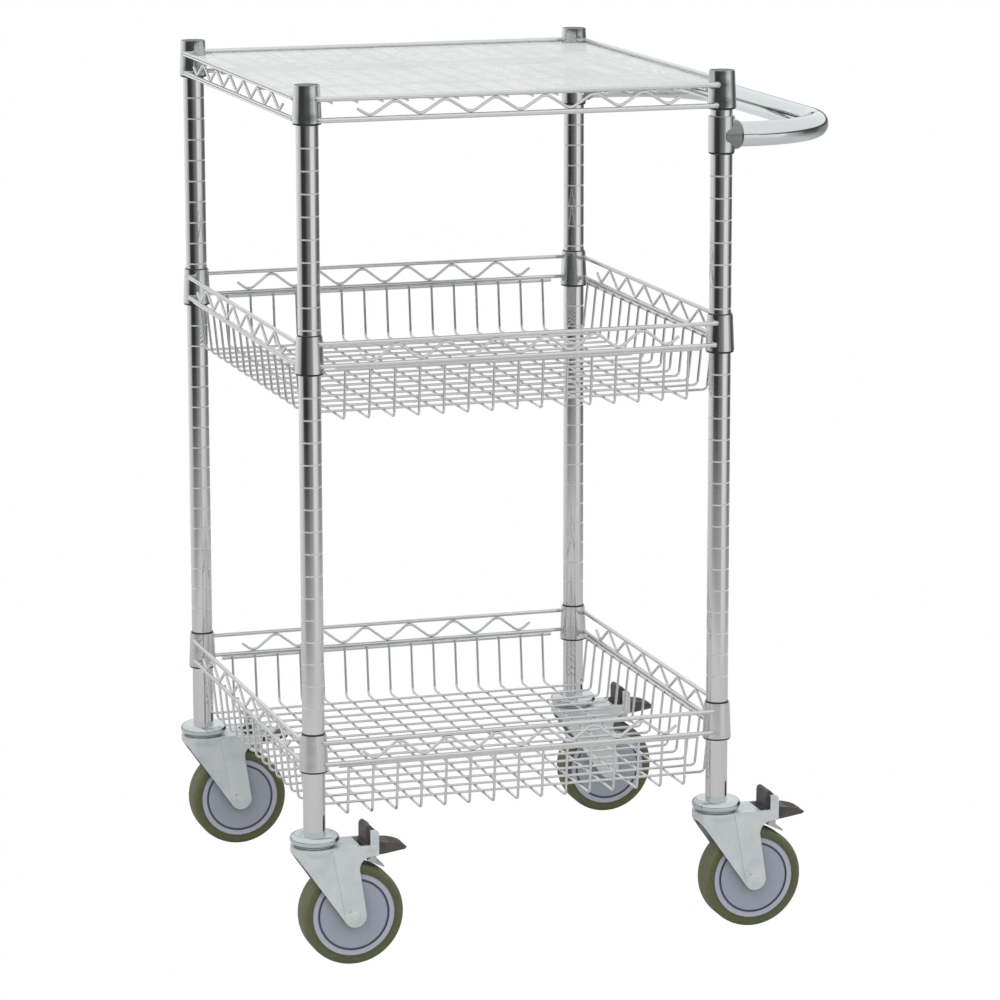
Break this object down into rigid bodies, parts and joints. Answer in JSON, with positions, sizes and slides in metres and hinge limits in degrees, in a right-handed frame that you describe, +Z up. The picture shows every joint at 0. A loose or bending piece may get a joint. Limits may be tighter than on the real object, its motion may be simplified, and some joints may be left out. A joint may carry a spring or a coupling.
{
  "type": "rolling utility cart",
  "caption": "Rolling wire utility cart with a flat top shelf, two wire baskets, a tubular push handle and swivel casters with brakes.",
  "frame": {"origin": "on the floor, under the middle of the outline", "axes": "+Z up, +X towards the push handle, -Y towards the front"},
  "size_m": [0.6812, 0.585, 1.0089],
  "materials": {
    "post_chrome": "polished chrome plating with ring grooves",
    "wire_chrome": "bright plated wire",
    "handle_chrome": "satin-bright plating",
    "black_plastic": "moulded black sleeves",
    "cap_plastic": "dark grey end caps",
    "liner_plastic": "clear frosted sheet",
    "zinc": "bluish bright zinc plating",
    "pin_steel": "zinc plated rivets",
    "wheel_core": "grey moulded wheel centre",
    "tread_rubber": "olive non-marking tread",
    "pedal_plastic": "dark warm grey pedal",
    "shoe_steel": "plated brake plate",
    "insert_plastic": "moulded stem sockets"
  },
  "bodies": {
    "frame": {"post_fl": "post_chrome", "post_fr": "post_chrome", "post_bl": "post_chrome", "post_br": "post_chrome", "post_caps": "cap_plastic", "top_sleeves": "black_plastic", "top_collars": "post_chrome", "top_rods": "wire_chrome", "top_truss": "wire_chrome", "top_deck": "wire_chrome", "top_liner": "liner_plastic", "mid_sleeves": "black_plastic", "mid_collars": "post_chrome", "mid_rods": "wire_chrome", "mid_truss": "wire_chrome", "mid_floor": "wire_chrome", "mid_wall_front": "wire_chrome", "mid_wall_back": "wire_chrome", "mid_wall_left": "wire_chrome", "mid_wall_right": "wire_chrome", "low_sleeves": "black_plastic", "low_collars": "post_chrome", "low_rods": "wire_chrome", "low_truss": "wire_chrome", "low_floor": "wire_chrome", "low_wall_front": "wire_chrome", "low_wall_back": "wire_chrome", "low_wall_left": "wire_chrome", "low_wall_right": "wire_chrome", "handle_tube": "handle_chrome", "handle_collars": "handle_chrome", "stem_inserts": "insert_plastic", "race_fl": "zinc", "race_fr": "zinc", "race_bl": "zinc", "race_br": "zinc"},
    "swivel_fl": {"fork_fl": "zinc", "pins_fl": "pin_steel"},
    "wheel_fl": {"wheel_fl": "wheel_core", "tread_fl": "tread_rubber"},
    "brake_fl": {"pedal_fl": "pedal_plastic", "shoe_fl": "shoe_steel"},
    "swivel_fr": {"fork_fr": "zinc", "pins_fr": "pin_steel"},
    "wheel_fr": {"wheel_fr": "wheel_core", "tread_fr": "tread_rubber"},
    "brake_fr": {"pedal_fr": "pedal_plastic", "shoe_fr": "shoe_steel"},
    "swivel_bl": {"fork_bl": "zinc", "pins_bl": "pin_steel"},
    "wheel_bl": {"wheel_bl": "wheel_core", "tread_bl": "tread_rubber"},
    "brake_bl": {"pedal_bl": "pedal_plastic", "shoe_bl": "shoe_steel"},
    "swivel_br": {"fork_br": "zinc", "pins_br": "pin_steel"},
    "wheel_br": {"wheel_br": "wheel_core", "tread_br": "tread_rubber"},
    "brake_br": {"pedal_br": "pedal_plastic", "shoe_br": "shoe_steel"}
  },
  "joints": [
    {"name": "swivel_fl", "type": "hinge", "parent": "frame", "child": "swivel_fl", "pos_m": [-0.3121, -0.264, 0.143], "axis": [0, 0, 1], "continuous": true},
    {"name": "roll_fl", "type": "hinge", "parent": "swivel_fl", "child": "wheel_fl", "pos_m": [-0.2706, -0.264, 0.0595], "axis": [0, 1, 0], "continuous": true},
    {"name": "brake_fl", "type": "hinge", "parent": "swivel_fl", "child": "brake_fl", "pos_m": [-0.2481, -0.264, 0.137], "axis": [0, 1, 0], "range_deg": [0, 12]},
    {"name": "swivel_fr", "type": "hinge", "parent": "frame", "child": "swivel_fr", "pos_m": [0.1749, -0.264, 0.143], "axis": [0, 0, 1], "continuous": true},
    {"name": "roll_fr", "type": "hinge", "parent": "swivel_fr", "child": "wheel_fr", "pos_m": [0.2164, -0.264, 0.0595], "axis": [0, 1, 0], "continuous": true},
    {"name": "brake_fr", "type": "hinge", "parent": "swivel_fr", "child": "brake_fr", "pos_m": [0.2389, -0.264, 0.137], "axis": [0, 1, 0], "range_deg": [0, 12]},
    {"name": "swivel_bl", "type": "hinge", "parent": "frame", "child": "swivel_bl", "pos_m": [-0.3121, 0.264, 0.143], "axis": [0, 0, 1], "continuous": true},
    {"name": "roll_bl", "type": "hinge", "parent": "swivel_bl", "child": "wheel_bl", "pos_m": [-0.2706, 0.264, 0.0595], "axis": [0, 1, 0], "continuous": true},
    {"name": "brake_bl", "type": "hinge", "parent": "swivel_bl", "child": "brake_bl", "pos_m": [-0.2481, 0.264, 0.137], "axis": [0, 1, 0], "range_deg": [0, 12]},
    {"name": "swivel_br", "type": "hinge", "parent": "frame", "child": "swivel_br", "pos_m": [0.1749, 0.264, 0.143], "axis": [0, 0, 1], "continuous": true},
    {"name": "roll_br", "type": "hinge", "parent": "swivel_br", "child": "wheel_br", "pos_m": [0.2164, 0.264, 0.0595], "axis": [0, 1, 0], "continuous": true},
    {"name": "brake_br", "type": "hinge", "parent": "swivel_br", "child": "brake_br", "pos_m": [0.2389, 0.264, 0.137], "axis": [0, 1, 0], "range_deg": [0, 12]}
  ]
}
